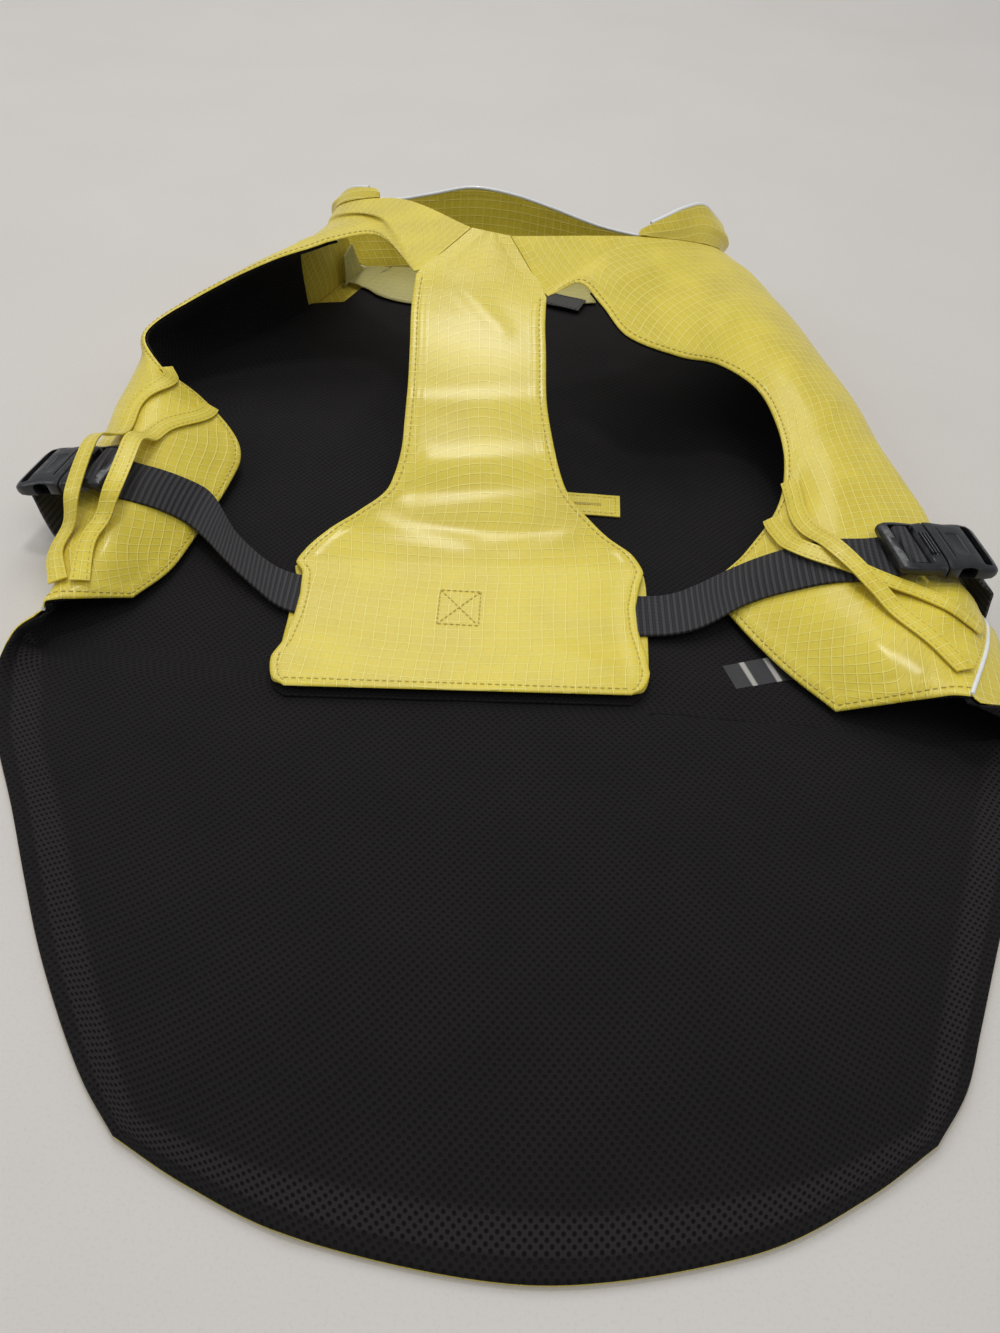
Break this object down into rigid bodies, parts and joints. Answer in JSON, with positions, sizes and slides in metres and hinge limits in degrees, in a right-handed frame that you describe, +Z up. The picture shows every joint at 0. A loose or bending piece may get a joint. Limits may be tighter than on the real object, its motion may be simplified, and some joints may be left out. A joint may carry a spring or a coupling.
{
  "type": "dog raincoat",
  "caption": "Dog raincoat of yellow ripstop with a black mesh lining, laid open on its back, with chest panel, belly webbing and side-release buckles.",
  "frame": {"origin": "on the surface the coat lies on, under the middle of its outline", "axes": "+Z up from that surface; +Y from the rump hem towards the neck; +X to the right as seen from the rump"},
  "size_m": [0.4304, 0.6071, 0.087],
  "materials": {
    "yellow_ripstop": "coated ripstop weave with a 5 mm grid, slightly glossy, soft creases",
    "black_spacer_mesh": "matt knitted spacer mesh with small round holes",
    "ripstop_reverse": "uncoated reverse of the ripstop, greyish yellow and matt",
    "white_piping": "smooth white reflective piping",
    "black_webbing": "ribbed woven webbing, 25 mm wide",
    "woven_label": "bare black woven tape",
    "black_plastic": "moulded acetal, worn satin"
  },
  "bodies": {
    "root": {"shell_back": "yellow_ripstop", "shell_left": "yellow_ripstop", "shell_right": "yellow_ripstop", "chest_panel": "yellow_ripstop", "chest_facing": "yellow_ripstop", "collar": "yellow_ripstop", "daisy_left_outer": "yellow_ripstop", "daisy_left_inner": "yellow_ripstop", "daisy_right_over": "yellow_ripstop", "daisy_right_under": "yellow_ripstop", "leash_welt": "yellow_ripstop", "lining_back": "black_spacer_mesh", "lining_left": "black_spacer_mesh", "lining_right": "black_spacer_mesh", "chest_lining": "black_spacer_mesh", "neck_facing": "ripstop_reverse", "collar_piping": "white_piping", "seam_piping_left": "white_piping", "seam_piping_right": "white_piping", "belly_webbing": "black_webbing", "anchor_webbing_left": "black_webbing", "anchor_webbing_right": "black_webbing", "neck_label": "woven_label", "size_label": "woven_label", "buckle_slider_left": "black_plastic", "buckle_slider_right": "black_plastic", "buckle_socket_left": "black_plastic", "buckle_socket_right": "black_plastic"}
  },
  "joints": []
}
